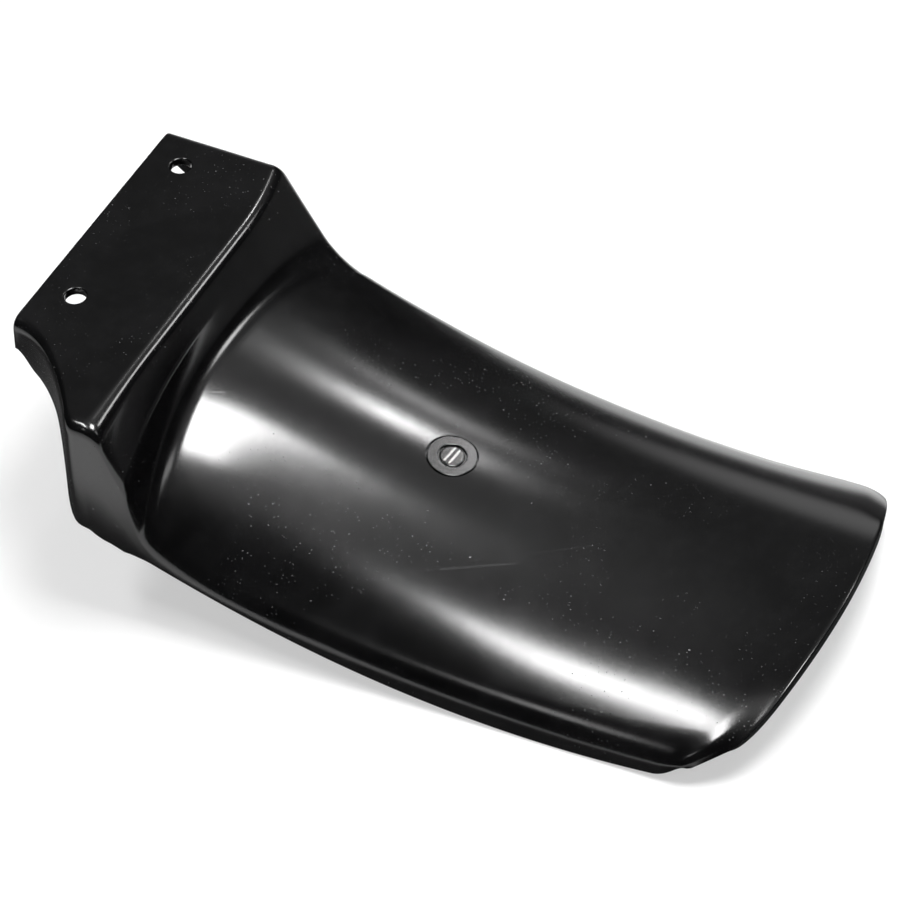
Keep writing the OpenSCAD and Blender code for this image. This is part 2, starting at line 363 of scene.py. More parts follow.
@dataclass(frozen=True)
class BlackPlastic:
    """Gloss black moulded plastic with dust, grain and fine scratches.

    The grain, pebble and swell are noises, each by size, layers and roughness.
    """

    name: str = "black_plastic"
    colour: Triple = (0.0010, 0.0010, 0.0011)
    dusty: Triple = (0.0064, 0.0064, 0.0067)
    speck: Triple = (0.07, 0.07, 0.073)
    gloss_roughness: float = 0.16
    dull_roughness: float = 0.30
    dust_roughness: float = 0.3
    ior: float = 1.55
    smudge: Patches = Patches(34.0, 4.0, 0.6, 0.38, 0.72)
    haze: Patches = Patches(7.0, 3.0, 0.6, 0.35, 0.8)
    dust_areas: Patches = Patches(40.0, 1.0, 0.5, 0.38, 0.60)
    grain: Triple = (0.42, 2.0, 0.7)
    pebble: Triple = (1.5, 2.0, 0.6)
    swell: Triple = (11.0, 1.0, 0.4)
    film: Shares = Shares(smudge=0.3, haze=0.2, hair=0.5, cut=1.0)
    pale: Shares = Shares(dust=1.0, cut=0.35)
    dullness: Shares = Shares(smudge=0.12, haze=0.08, grain=0.4, hair=0.4, cut=1.0)
    height: Shares = Shares(
        swell=0.004, pebble=0.0050, grain=0.0060, hair=-0.0012, cut=-0.02, dust=0.04
    )
    hairlines: tuple[Hairlines, ...] = (
        Hairlines(12.0, 26.0, 0.70),
        Hairlines(74.0, 18.0, 0.71, 0.8),
        Hairlines(131.0, 14.0, 0.72, 0.7),
    )
    specks: tuple[Specks, ...] = (
        Specks(4.2, 0.72, 0.07),
        Specks(1.7, 0.50, 0.15, 0.5),
        Specks(0.9, 0.66, 0.26, 0.35),
    )
    scratches: tuple[Scratch, ...] = (
        Scratch((52.7, 135.8), (42.1, 156.3), 0.55, 0.26),
        Scratch((38.3, 157.5), (26.7, 175.4), 0.45, 0.16),
        Scratch((66.0, 112.0), (53.5, 134.0), 0.40, 0.10),
        Scratch((62.2, 108.1), (63.0, 109.4), 0.45, 0.55),
        Scratch((66.7, 114.4), (67.4, 115.7), 0.40, 0.45),
        Scratch((34.9, 48.0), (32.8, 51.0), 0.30, 0.30),
        Scratch((-17.7, 33.3), (-17.2, 34.5), 0.40, 0.70),
    )

    def wear(self, sheet: NodeSheet) -> dict[str, Signal]:
        """Draws each kind of wear.

        Args:
            sheet: The material's nodes.

        Returns:
            The strengths by name.
        """
        where = sheet.place()
        marks = {"hair": self.hairlines, "cut": self.scratches, "dust": self.specks}
        wear = {
            name: reduce(Signal.larger, [mark.signal(sheet, where) for mark in kind])
            for name, kind in marks.items()
        }
        wear["dust"] *= self.dust_areas.signal(sheet, where)
        for name in ("smudge", "haze"):
            wear[name] = getattr(self, name).signal(sheet, where)
        for name in ("grain", "pebble", "swell"):
            wear[name] = sheet.noise(where, *getattr(self, name))
        return wear

    def build(self) -> bpy.types.Material:
        """Makes the material.

        Returns:
            The material.
        """
        material = bpy.data.materials.new(self.name)
        sheet = NodeSheet(material)
        wear = self.wear(sheet)
        film = self.film.total(wear).clamped()
        base = sheet.tint(film, (*self.colour, 1.0), (*self.dusty, 1.0))
        base = sheet.tint(self.pale.total(wear).clamped(), base, (*self.speck, 1.0))
        spread = self.dull_roughness - self.gloss_roughness
        rough = (self.dullness.total(wear) - self.dullness.grain / 2) * spread
        rough = rough + self.gloss_roughness + wear["dust"] * self.dust_roughness
        height = {"Strength": 1.0, "Distance": MM, "Height": self.height.total(wear)}
        inputs = {
            "Base Color": base,
            "Roughness": rough.clamped(),
            "IOR": self.ior,
            "Normal": sheet.add("ShaderNodeBump", None, height).outputs[0],
        }
        shader = sheet.add("ShaderNodeBsdfPrincipled", None, inputs)
        sheet.add("ShaderNodeOutputMaterial", None, {"Surface": shader.outputs[0]})
        return material


@dataclass(frozen=True)
class PaleFloor:
    """Plain white floor that keeps a soft shadow.

    Its colour in gloss is a painted reflection: gloss shows it dark, except for a painted bright
    patch on each side of the flap. The patches' edges are places on the floor in millimetres.
    """

    name: str = "pale_floor"
    level: float = 0.82
    lift: float = 0.52
    # Levels of the painted reflection: the least one everywhere, and the painted bright patches
    # beside the near and far sides.
    shine_least: float = 0.07
    shine_near: float = 0.9
    shine_far: float = 0.95
    near_edge: Pair = (106.0, 150.0)
    far_edge: Pair = (-50.0, -62.0)
    far_limit: Pair = (322.0, 292.0)

    def shine(self, sheet: NodeSheet) -> Signal:
        """Gives the painted reflection: how brightly gloss shows the floor, by place on it.

        Args:
            sheet: The material's nodes.

        Returns:
            The share of the floor's own level.
        """
        where = sheet.place()
        x, y = where.dot((1.0, 0.0, 0.0)), where.dot((0.0, 1.0, 0.0))
        near = x.over(*self.near_edge) * self.shine_near
        far = x.over(*self.far_edge) * (y - x).over(*self.far_limit) * self.shine_far
        return near + far + self.shine_least

    def build(self) -> bpy.types.Material:
        """Makes the material.

        Returns:
            The material.
        """
        material = bpy.data.materials.new(self.name)
        sheet = NodeSheet(material)
        seen, gloss = sheet.rays()
        # Painted reflection: glossy rays see the floor darkened by place, while camera and other
        # rays see its full level.
        share = gloss * self.shine(sheet) + (1.0 - gloss)
        tone_with_painted_reflection = sheet.tint(share, (0.0, 0.0, 0.0, 1.0), (self.level, self.level, self.level, 1.0))
        matt = sheet.add("ShaderNodeBsdfDiffuse", None, {"Color": tone_with_painted_reflection})
        white = {"Color": (1.0, 1.0, 1.0, 1.0), "Strength": 1.0}
        glow = sheet.add("ShaderNodeEmission", None, white)
        inputs = {0: seen * self.lift, 1: matt.outputs[0], 2: glow.outputs[0]}
        mixed = sheet.add("ShaderNodeMixShader", None, inputs)
        sheet.add("ShaderNodeOutputMaterial", None, {"Surface": mixed.outputs[0]})
        return material


# --------------------------------------------------------------- flap surface
def ease(t: Any) -> Any:
    """Rises smoothly from 0 to 1."""
    u = np.clip(t, 0.0, 1.0)
    return u * u * (3 - 2 * u)


def mix(a: Any, b: Any, t: Any) -> Any:
    """Gives the point at t on the straight line from a to b."""
    return a + (b - a) * t


def bend(a: Any, c: Any, b: Any, t: Any) -> Any:
    """Gives the point at t on the curve from a to b that is drawn towards c."""
    return mix(mix(a, c, t), mix(c, b, t), t)


def edge_share(q: Points, part: float) -> Points:
    """Gives 1 where q is 0, fading out over a part of the width."""
    return np.maximum(0.0, 1 - q / part) ** 2


def length(v: Points) -> Points:
    """Gives the vectors' lengths, kept as a last axis."""
    return np.linalg.norm(v, axis=-1, keepdims=True)


def unit(v: Points) -> Points:
    """Scales vectors to length 1."""
    return v / length(v)


class Stretch(Enum):
    """The three stretches of the flap, from the screws to the tip."""

    PLATE = 0
    STEP = 1
    ARCH = 2


@dataclass(frozen=True)
class FlapSurface:
    """The flap's top surface, with the sizes of the CAD part in millimetres."""

    hole_gap: float = 66.7
    hole_d: float = 7.0
    plate_back: float = 12.4
    plate_front: float = 34.0
    plate_far: float = 48.0
    plate_near: float = 51.2
    flare_power: float = 1.7
    flare_end: float = 25.5
    flare_blend: float = 4.0
    reach: float = 255.5
    tip_bow: float = 12.5
    tip_corner: float = 22.5
    tip_corner_far: float = 4.5
    tip_square: float = 10.0
    tip_skew: float = 0.5
    tip_skirt: float = 0.25
    tip_run_back: float = 0.13
    tip_run_out: float = 0.065
    tip_droop: float = 3.0
    tip_droop_far: float = 2.0
    droop_start: float = 0.5
    droop_row: float = 0.94  # the CAD part's droop starts at 0.88
    flap_near: float = 82.98  # 0.02 less than the CAD part's, to stay inside its box
    flap_far: float = 49.5
    crown_x: float = 15.5
    shoulder_part: float = 0.15
    crown_z: tuple[float, ...] = (-18.4, -40.1, -48.9, -38.4)
    near_z: tuple[float, ...] = (-51.1, -66.1, -72.3, -51.5)
    far_z: tuple[float, ...] = (-30.5, -68.0, -66.5, -62.2)
    hem_z: tuple[float, ...] = (-49.4, -76.4, -79.4, -58.6)
    near_rise: float = 16.0
    far_rise: float = 0.0
    rise_fade: float = 14.0
    skirt_least: float = 2.0
    step_lean: float = 0.38
    foot_ahead: float = 1.0
    ridge: float = 2.0
    ridge_rise_power: float = 1.5
    ridge_fall_power: float = 2.0
    ridge_place: float = 0.5
    ridge_start: float = 0.35
    crease_round: float = 3.2
    near_crease: float = 3.0
    near_corner: float = 2.5
    foot_round: float = 4.0
    far_foot_round: float = 7.0
    far_corner: float = 5.0
    skirt_rear: float = 12.0
    skirt_plate: float = 17.0
    skirt_grow: float = 9.0
    flank_start: float = 11.0
    flank_grow: float = 17.0
    fold_round: float = 4.5
    tip_fold: float = 6.0
    skirt_lean: float = 0.03
    skirt_back_lean: float = 0.05
    wall: float = 3.0
    corner: float = 0.955
    crease_stations: int = 5
    slope_stations: int = 5
    foot_stations: int = 5
    near_part: float = 0.3
    far_part: float = 0.25
    leg_room: float = 0.45
    fold_most: float = 1.4
    wall_most: float = 0.8
    halvings: int = 40

    @property
    def crease_end(self) -> int:
        """The step's row at which the crease ends."""
        return self.crease_stations - 1

    @property
    def foot_start(self) -> int:
        """The step's row at which the foot's rounding starts."""
        return self.crease_stations + self.slope_stations

    @property
    def step_rows(self) -> int:
        """How many rows the whole step has."""
        return self.foot_start + self.foot_stations

    @property
    def foot_y(self) -> float:
        """Where the step's foot lies."""
        return self.plate_front + self.foot_ahead - self.step_lean * self.crown_z[0]

    def corner_of(self, side: Any) -> Any:
        """Gives the length over which a side rounds into the tip."""
        return np.where(np.asarray(side) > 0, self.tip_corner, self.tip_corner_far)

    def tail_y(self, side: int) -> float:
        """Gives where a side starts to round into the tip."""
        return float(self.reach - self.tip_bow - self.corner_of(side))

    @property
    def near_half(self) -> float:
        """Half width of the arch on the wide side."""
        return self.flap_near - self.crown_x

    @property
    def far_half(self) -> float:
        """Half width of the arch on the narrow side."""
        return self.flap_far + self.crown_x

    def corner_y(self, side: int) -> float:
        """Gives how far forward the last row's end lies on a side."""
        return float(self.tip_at(self.corner, side))

    def steer(self, heights: Sequence[float], y: Any) -> Any:
        """Gives the height at y of the curve that four heights steer."""
        t = (y - self.foot_y) / (self.reach - self.foot_y)
        return mix(bend(*heights[:3], t), bend(*heights[1:], t), t)

    def tip_at(self, u: Any, side: Any) -> Any:
        """Gives how far forward the tip reaches at share u of a side's half width."""
        full = np.minimum(u, 1.0) ** self.tip_square
        return self.reach - self.tip_bow * u * u - self.corner_of(side) * (1 - np.sqrt(1 - full))

    def width_left(self, y: float, side: int) -> float:
        """Finds the share of a side's full half width that is left at y.

        Args:
            y: Where along the flap.
            side: 1 on the wide side, -1 on the narrow one.

        Returns:
            The share, from 0 to 1.
        """
        if y <= self.tail_y(side):
            return 1.0
        low, high = 0.0, 1.0
        for _ in range(self.halvings):
            middle = (low + high) / 2
            if self.tip_at(middle, side) > y:
                low = middle
            else:
                high = middle
        return (low + high) / 2

    def near_x(self, y: float) -> float:
        """Gives the wide side's place in plan at y.

        Args:
            y: Where along the flap.

        Returns:
            Its x.
        """
        if y >= self.plate_front:
            return self.crown_x + self.near_half * self.width_left(y, 1)
        u = max(0.0, (y + self.plate_back) / (self.flare_end + self.plate_back))
        swept = mix(self.plate_near, self.flap_near, u**self.flare_power)
        overlap = max(self.flare_blend - abs(swept - self.flap_near), 0) / self.flare_blend
        return min(swept, self.flap_near) - overlap * overlap * self.flare_blend / 4

    def far_reach(self, y: Any) -> Any:
        """Gives how far the narrow side stands out at y."""
        share = ease((y - self.flare_end) / (2 * self.plate_front))
        return mix(self.plate_far, self.flap_far, share)

    def far_x(self, y: float) -> float:
        """Gives the narrow side's place in plan at y."""
        return self.crown_x - (self.crown_x + self.far_reach(y)) * self.width_left(y, -1)

    def arch_z(self, x: Any, y: Any) -> Any:
        """Gives the height of the arch.

        Args:
            x: Where across the flap.
            y: Where along it.

        Returns:
            The height there.
        """
        top = self.steer(self.crown_z, y)
        fade = np.exp(-(y - self.foot_y) / self.rise_fade)
        near = x > self.crown_x
        far_share = (self.crown_x - x) / (self.crown_x + self.far_reach(y))
        u = np.where(near, (x - self.crown_x) / self.near_half, far_share)
        near_side = self.steer(self.near_z, y) + self.near_rise * fade
        far_side = self.steer(self.far_z, y) + self.far_rise * fade
        side = np.where(near, near_side, far_side)
        return top - (top - side) * mix(u**2, u**4, self.shoulder_part)

    def hem(self, y: float) -> float:
        """Gives the height of the bottom edge beside the arch."""
        return self.steer(self.hem_z, y)

    def plate_hem(self, y: float) -> float:
        """Gives the height of the bottom edge beside the plate.

        Args:
            y: Where along the flap.

        Returns:
            The height there.
        """
        share = ease((y + self.plate_back) / self.skirt_grow)
        rear = mix(-self.skirt_rear, -self.skirt_plate, share)
        return mix(rear, self.hem(y), ease((y - self.flank_start) / self.flank_grow))

    def crease_leg(self, q: Points) -> Points:
        """Gives the crease's rounding."""
        return self.crease_round + self.near_crease * edge_share(1 - q, self.near_part)

    def crease_y(self, q: Points) -> Points:
        """Gives where the crease lies.

        Args:
            q: Shares of the width.

        Returns:
            Its y at each share.
        """
        near = self.near_corner * edge_share(1 - q, self.near_part)
        far = self.far_corner * edge_share(q, self.far_part)
        return self.plate_front + near - far

    def plate_point(self, q: Points, t: float) -> Points:
        """Gives points of the plate.

        Args:
            q: Shares of the width.
            t: Share of the plate's length.

        Returns:
            The points.
        """
        y = mix(-self.plate_back, self.plate_front - self.crease_round, t)
        x = mix(self.far_x(y), self.near_x(y), q)
        y = mix(-self.plate_back, self.crease_y(q) - self.crease_leg(q), t)
        return np.stack([x, y, 0 * q], -1)

    def foot_leg(self, q: Points) -> Points:
        """Gives the rounding at the step's foot."""
        return self.foot_round + self.far_foot_round * edge_share(q / 2, self.far_part)

    def foot_point(self, q: Points) -> Points:
        """Gives points of the step's foot.

        Args:
            q: Shares of the width.

        Returns:
            The points.
        """
        x = mix(self.far_x(self.foot_y), self.near_x(self.foot_y), q)
        y = self.plate_front + self.foot_ahead - self.step_lean * self.arch_z(x, self.foot_y)
        return np.stack([x, y, self.arch_z(x, y)], -1)

    def after_foot(self, q: Points) -> Points:
        """Gives the points where the foot's rounding meets the arch.

        Args:
            q: Shares of the width.

        Returns:
            The points.
        """
        p = self.foot_point(q)
        y = p[..., 1] + self.foot_leg(q)
        return np.stack([p[..., 0], y, self.arch_z(p[..., 0], y)], -1)

    def ridge_shape(self, share: float) -> float:
        """Gives the soft ridge's shape down the step face.

        Args:
            share: How far down the face.

        Returns:
            How far the ridge stands out, from 0 to 1.
        """
        if share < self.ridge_place:
            return (share / self.ridge_place) ** self.ridge_rise_power
        return ((1 - share) / (1 - self.ridge_place)) ** self.ridge_fall_power

    def step_point(self, q: Points, station: float) -> Points:
        """Gives points of the crease, the step face and the foot's rounding.

        Args:
            q: Shares of the width.
            station: How far down the step, in the CAD part's rows.

        Returns:
            The points.
        """
        x = mix(self.far_x(self.plate_front), self.near_x(self.plate_front), q)
        top = np.stack([x, self.crease_y(q), 0 * q], -1)
        foot = self.foot_point(q)
        way = unit(foot - top)
        room = self.leg_room * length(foot - top)
        leg = self.crease_leg(q)[..., None]
        below = top + way * np.minimum(leg, room)
        above = foot - way * np.minimum(self.foot_leg(q)[..., None], room)
        if station <= self.crease_end:
            back = top - leg * np.array([0.0, 1.0, 0.0])
            return bend(back, top, below, station / self.crease_end)
        if station <= self.foot_start:
            share = (station - self.crease_end) / (self.slope_stations + 1)
            face = mix(below, above, share)
            across = ease((q - self.ridge_start) / (1 - self.ridge_start))
            face[..., 1] += self.ridge * self.ridge_shape(share) * across
            return face
        turn = (station - self.foot_start) / (self.foot_stations - 1)
        return bend(above, foot, self.after_foot(q), turn)

    def arch_point(self, q: Points, t: float) -> Points:
        """Gives points of the arch.

        Args:
            q: Shares of the width.
            t: Share of the arch's length.

        Returns:
            The points.
        """
        start = self.after_foot(q)
        off = mix(-self.far_half * self.corner, self.near_half * self.corner, q)
        share = np.where(off > 0, off / self.near_half, off / self.far_half)
        y_end = self.tip_at(abs(share), share) + self.tip_skew * share
        ends = self.after_foot(np.array([0.0, 1.0]))[:, 1]
        x_far = self.far_x(mix(ends[0], self.corner_y(-1), t))
        x = mix(x_far, self.near_x(mix(ends[1], self.corner_y(1), t)), q)
        y = mix(start[..., 1], y_end, t)
        side_share = ease((abs(share) - self.droop_start) / (1 - self.droop_start))
        row_share = ease((t - self.droop_row) / (1 - self.droop_row)) ** 2
        droop = np.where(off > 0, self.tip_droop, self.tip_droop_far) * side_share * row_share
        return np.stack([x, y, self.arch_z(x, y) - droop], -1)

    def top_point(self, stretch: Stretch, q: Any, s: float) -> Points:
        """Gives points of the top surface.

        Args:
            stretch: Which stretch of the flap.
            q: Shares of the width.
            s: Place within the stretch.

        Returns:
            The points.
        """
        q = np.atleast_1d(np.asarray(q, float))
        if stretch is Stretch.PLATE:
            return self.plate_point(q, s)
        if stretch is Stretch.STEP:
            return self.step_point(q, s)
        return self.arch_point(q, s)

    def bottom_point(self, stretch: Stretch, side: int, s: float, edge: Points) -> Points:
        """Gives the bottom of the skirt below an edge point.

        Args:
            stretch: Which stretch of the flap.
            side: 1 on the wide side, -1 on the narrow one.
            s: Place within the stretch.
            edge: The edge point.

        Returns:
            The point at the skirt's bottom.
        """
        x, y, z = edge
        if stretch is Stretch.PLATE:
            low = self.plate_hem(y)
            out = x - side * self.skirt_lean * low
            return np.array([out, y + self.skirt_back_lean * low, low])
        if stretch is Stretch.STEP:
            end = np.array([1.0 if side > 0 else 0.0])
            start = self.plate_point(end, 1.0)[0, 1]
            first = start + self.skirt_back_lean * self.plate_hem(start)
            last = self.after_foot(end)[0, 1]
            low = self.hem(y)
            out = x + side * self.skirt_lean * (z - low)
            return np.array([out, mix(first, last, (s + 1) / self.step_rows), low])
        tail = self.tail_y(side)
        share = ease((y - tail) / (self.corner_y(side) - tail))
        fall = max(self.skirt_least, (z - self.hem(y)) * (1 - (1 - self.tip_skirt) * share))
        turn = float(self.corner_of(side)) * share**2
        out = self.skirt_lean * fall + self.tip_run_out * turn
        return np.array([x + side * out, y - self.tip_run_back * turn, z - fall])

    def row(self, stretch: Stretch, s: float, soften: float, grid: "GridSizes") -> Points:
        """Gives one row of the whole wall, from hem to hem.

        Args:
            stretch: Which stretch of the flap.
            s: Place within the stretch.
            soften: How far the fold takes its extra rounding, from 0 to 1.
            grid: How fine the mesh is.

        Returns:
            The row's points.
        """
        edges = self.top_point(stretch, [0.0, 1.0], s)
        leg = self.fold_round + self.tip_fold * soften
        legs, lows, walls = [], [], []
        for side, edge in zip((-1, 1), edges):
            low = self.bottom_point(stretch, side, s, edge)
            fall = np.linalg.norm(low - edge)
            legs.append(min(leg, self.fold_most * fall))
            lows.append(low)
            walls.append(edge + unit(low - edge) * min(legs[-1], self.wall_most * fall))
        (far, near), (far_low, near_low), (far_wall, near_wall) = edges, lows, walls
        width = np.linalg.norm(near - far)
        over = np.linspace(legs[0] / width, 1 - legs[1] / width, grid.top_cells + 1)
        down = np.linspace(0, 1, grid.wall_cells + 1)[:, None]
        turn = np.linspace(0, 1, grid.fold_cells + 1)[1:, None]
        top = self.top_point(stretch, over, s)
        return np.concatenate([
            mix(far_low, far_wall, down),
            bend(far_wall, far, top[0], turn)[:-1],
            top,
            bend(top[-1], near, near_wall, turn),
            mix(near_wall, near_low, down)[1:],
        ])

    def skin(self, grid: "GridSizes") -> Points:
        """Gives the whole outer skin.

        Args:
            grid: How fine the mesh is.

        Returns:
            Points by row and column.
        """
        ends = (0, self.crease_end, self.foot_start, self.step_rows - 1)
        cells = (grid.crease_cells, grid.slope_cells, grid.foot_cells)
        places = [(Stretch.PLATE, t) for t in np.linspace(0, 1, grid.plate_cells + 1)[:-1]]
        for start, end, count in zip(ends, ends[1:], cells):
            places += [(Stretch.STEP, s) for s in np.linspace(start, end, count + 1)[:-1]]
        places.append((Stretch.STEP, ends[-1]))
        rows = [self.row(stretch, s, 0.0, grid) for stretch, s in places]
        shares = np.linspace(0, 1, grid.arch_cells + 1)[1:]
        rows += [self.row(Stretch.ARCH, t, t**3, grid) for t in shares]
        return np.array(rows)


@dataclass(frozen=True)
class GridSizes:
    """How many cells the skin has over each stretch."""

    plate_cells: int = 34
    crease_cells: int = 16
    slope_cells: int = 12
    foot_cells: int = 12
    arch_cells: int = 124
    wall_cells: int = 2
    fold_cells: int = 10
    top_cells: int = 92
    edge_cells: int = 3


# ------------------------------------------------------------- sub-assemblies
def new_piece(name: str, mesh: Mesh) -> bpy.types.Object:
    """Puts a mesh into the scene.

    Args:
        name: The piece's name.
        mesh: Its mesh.

    Returns:
        The piece.
    """
    piece = bpy.data.objects.new(name, mesh)
    bpy.context.scene.collection.objects.link(piece)
    return piece


def mesh_from(name: str, work: bmesh.types.BMesh) -> Mesh:
    """Makes a smooth mesh of a body drawn in millimetres, and frees the body.

    Args:
        name: The mesh's name.
        work: The body.

    Returns:
        The mesh, in metres.
    """
    bmesh.ops.scale(work, vec=(MM, MM, MM), verts=work.verts)
    mesh = bpy.data.meshes.new(name)
    work.to_mesh(mesh)
    work.free()
    mesh.shade_smooth()
    return mesh


def mesh_of(name: str, points: Points, faces: Sequence[Sequence[int]]) -> Mesh:
    """Makes a mesh with its faces turned outward.

    Args:
        name: The mesh's name.
        points: Its points in millimetres.
        faces: Its faces.

    Returns:
        The mesh, in metres.
    """
    mesh = bpy.data.meshes.new(name)
    mesh.from_pydata((np.asarray(points) * MM).tolist(), [], [list(face) for face in faces])
    work = bmesh.new()
    work.from_mesh(mesh)
    bmesh.ops.recalc_face_normals(work, faces=work.faces)
    work.to_mesh(mesh)
    work.free()
    mesh.shade_smooth()
    return mesh


def spin(axis: str, degrees: float) -> Matrix:
    """Gives the turn about an axis by some degrees."""
    return Matrix.Rotation(math.radians(degrees), 4, axis)


def turned(name: str, profile: Sequence[Pair], sides: int) -> Mesh:
    """Turns a closed profile about Z.

    Args:
        name: The mesh's name.
        profile: Pairs of radius and height, the first and last on the axis.
        sides: How many sides the circle has.

    Returns:
        The mesh.
    """
    angles = np.linspace(0, 2 * math.pi, sides, endpoint=False)
    rings = profile[1:-1]
    points = [(0.0, 0.0, profile[0][1])]
    for radius, height in rings:
        points += [(radius * math.cos(a), radius * math.sin(a), height) for a in angles]
    points.append((0.0, 0.0, profile[-1][1]))
    last = len(points) - 1
    faces: list[tuple[int, ...]] = []
    for side in range(sides):
        after = (side + 1) % sides
        faces.append((0, 1 + side, 1 + after))
        for ring in range(len(rings) - 1):
            a, b = 1 + ring * sides, 1 + (ring + 1) * sides
            faces.append((a + side, b + side, b + after, a + after))
        end = 1 + (len(rings) - 1) * sides
        faces.append((end + side, last, end + after))
    return mesh_of(name, np.array(points), faces)


@dataclass
class MouldingMark:
    """The plain round insert mark on the crown.

    Its disc is turned. The steps that round its corners are pairs of radius
    and height, each counted from the corner.
    """

    y: float = 121.5
    outer_r: float = 8.0
    seam: float = 0.4
    inner_r: float = 4.0
    groove: float = 0.6
    high: float = 0.04
    deep: float = 0.5
    drop: float = 0.2
    pocket: float = 0.9
    pocket_clear: float = 3.0
    overlap: float = 0.05
    sides: int = 128
    rim_steps: tuple[Pair, ...] = ((0.0, -0.12), (-0.04, -0.035), (-0.12, 0.0), (-0.3, 0.0))
    lip_steps: tuple[Pair, ...] = ((0.3, 0.0), (0.12, 0.0), (0.03, -0.04), (0.0, -0.16))
    groove_steps: tuple[Pair, ...] = ((-0.05, -0.1),)
    inner_steps: tuple[Pair, ...] = ((0.1, -0.1), (0.0, 0.02))
    middle_steps: tuple[Pair, ...] = ((-0.03, -0.06), (-0.14, 0.0), (-0.5, 0.0))
    turn: float = 84.0
    bar: float = 0.9
    bar_tall: float = 0.5
    bar_margin: float = 0.3
    bar_chamfer: float = 0.08
    tilt: Pair = (-1.3, -1.3)
    notch_turn: float = 196.0
    notch_r: float = 1.5
    notch_tall: float = 2.0
    notch_out: float = 0.3
    notch_up: float = 0.4

    def stand(self, surface: FlapSurface) -> Matrix:
        """Gives the mark's place: on the crown, square to it.

        Args:
            surface: The flap's surface.

        Returns:
            The transform, in metres.
        """
        x = np.array(surface.crown_x)
        heights = [float(surface.arch_z(x, self.y + step)) for step in (-1, 0, 1)]
        slope = math.atan((heights[2] - heights[0]) / 2)
        place = Matrix.Translation(Vector((surface.crown_x, self.y, heights[1])) * MM)
        return place @ Matrix.Rotation(slope, 4, "X")

    def pocket_cutter(self) -> Mesh:
        """Makes the body that cuts the pocket for the mark.

        Returns:
            The body's mesh.
        """
        radius, low, high = self.outer_r + self.seam, -self.pocket, self.pocket_clear
        profile = [(0, low), (radius, low), (radius, high), (0, high)]
        return turned("pocket_cutter", profile, self.sides)

    def disc(self) -> Mesh:
        """Makes the disc with its groove and its sunk middle.

        Returns:
            The disc's mesh.
        """
        groove_r, sunk = self.inner_r + self.groove, self.high - self.deep
        low, middle = -self.pocket - self.overlap, self.high - self.drop
        corners = (
            (self.outer_r, self.high, self.rim_steps),
            (groove_r, self.high, self.lip_steps),
            (groove_r, sunk, self.groove_steps),
            (self.inner_r, sunk, self.inner_steps),
            (self.inner_r, middle, self.middle_steps),
        )
        profile = [(0, low), (self.outer_r, low)]
        for radius, height, steps in corners:
            profile += [(radius + out, height + up) for out, up in steps]
        return turned("mark_disc", [*profile, (0, middle)], self.sides)

    def bars(self) -> Mesh:
        """Makes the two raised bars on the middle of the mark.

        Returns:
            The bars' mesh.
        """
        work = bmesh.new()
        far_edge = 1.5 * self.bar
        reach = math.sqrt((self.inner_r - self.bar_margin) ** 2 - far_edge**2)
        turn = spin("Z", self.turn)
        lean = spin("X", self.tilt[0]) @ spin("Y", self.tilt[1])
        for side in (-1, 1):
            move = Matrix.Translation(Vector((side * self.bar, 0, self.high - self.drop)))
            size = Matrix.Diagonal((self.bar, 2 * reach, self.bar_tall, 1.0))
            bmesh.ops.create_cube(work, size=1.0, matrix=lean @ turn @ move @ size)
        edges = work.edges[:]
        bmesh.ops.bevel(
            work, geom=edges, offset=self.bar_chamfer, segments=1, affect="EDGES", profile=0.5
        )
        return mesh_from("mark_bars", work)

    def notch_cutter(self) -> Mesh:
        """Makes the body that cuts the notch in the mark's rim.

        Returns:
            The body's mesh.
        """
        work = bmesh.new()
        move = Matrix.Translation(Vector((self.outer_r + self.notch_out, 0, self.notch_up)))
        bmesh.ops.create_cone(
            work, cap_ends=True, segments=3,
            radius1=self.notch_r, radius2=self.notch_r, depth=self.notch_tall,
            matrix=spin("Z", self.notch_turn) @ move @ spin("Z", 180.0),
        )
        return mesh_from("notch_cutter", work)


